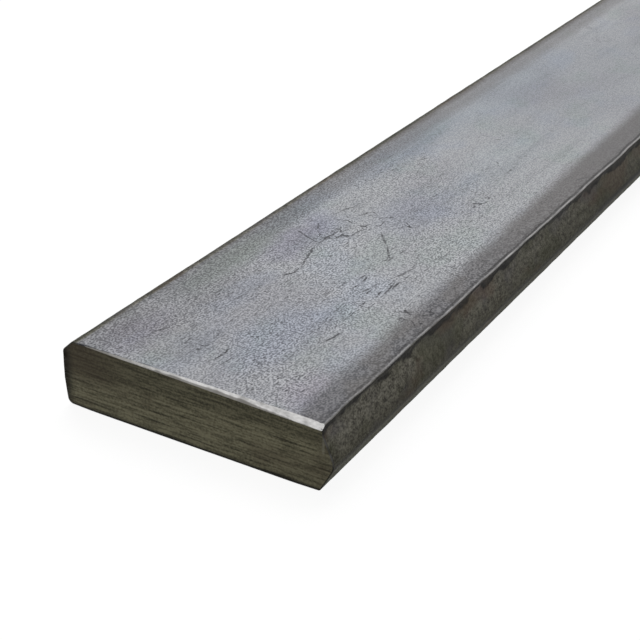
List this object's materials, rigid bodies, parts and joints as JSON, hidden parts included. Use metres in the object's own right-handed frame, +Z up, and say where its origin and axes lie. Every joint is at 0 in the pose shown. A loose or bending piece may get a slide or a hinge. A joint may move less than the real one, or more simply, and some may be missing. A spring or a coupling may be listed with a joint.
{
  "type": "hot rolled steel flat bar",
  "caption": "Rectangular hot rolled steel flat bar with slightly bulged rolled edges and sawn ends, stock for brackets, frames and welded work.",
  "frame": {"origin": "middle of the bar's length and width, on the broad face that it lies on", "axes": "+X along the bar towards its plain sawn end, +Y across it towards the upright edge, +Z up through its thickness"},
  "size_m": [0.5, 0.05, 0.012],
  "materials": {
    "rolled_steel": "hot rolled mill scale, dark grey and satin, with bare sawn ends and one filed edge"
  },
  "bodies": {
    "root": {"flat_bar": "rolled_steel"}
  },
  "joints": []
}
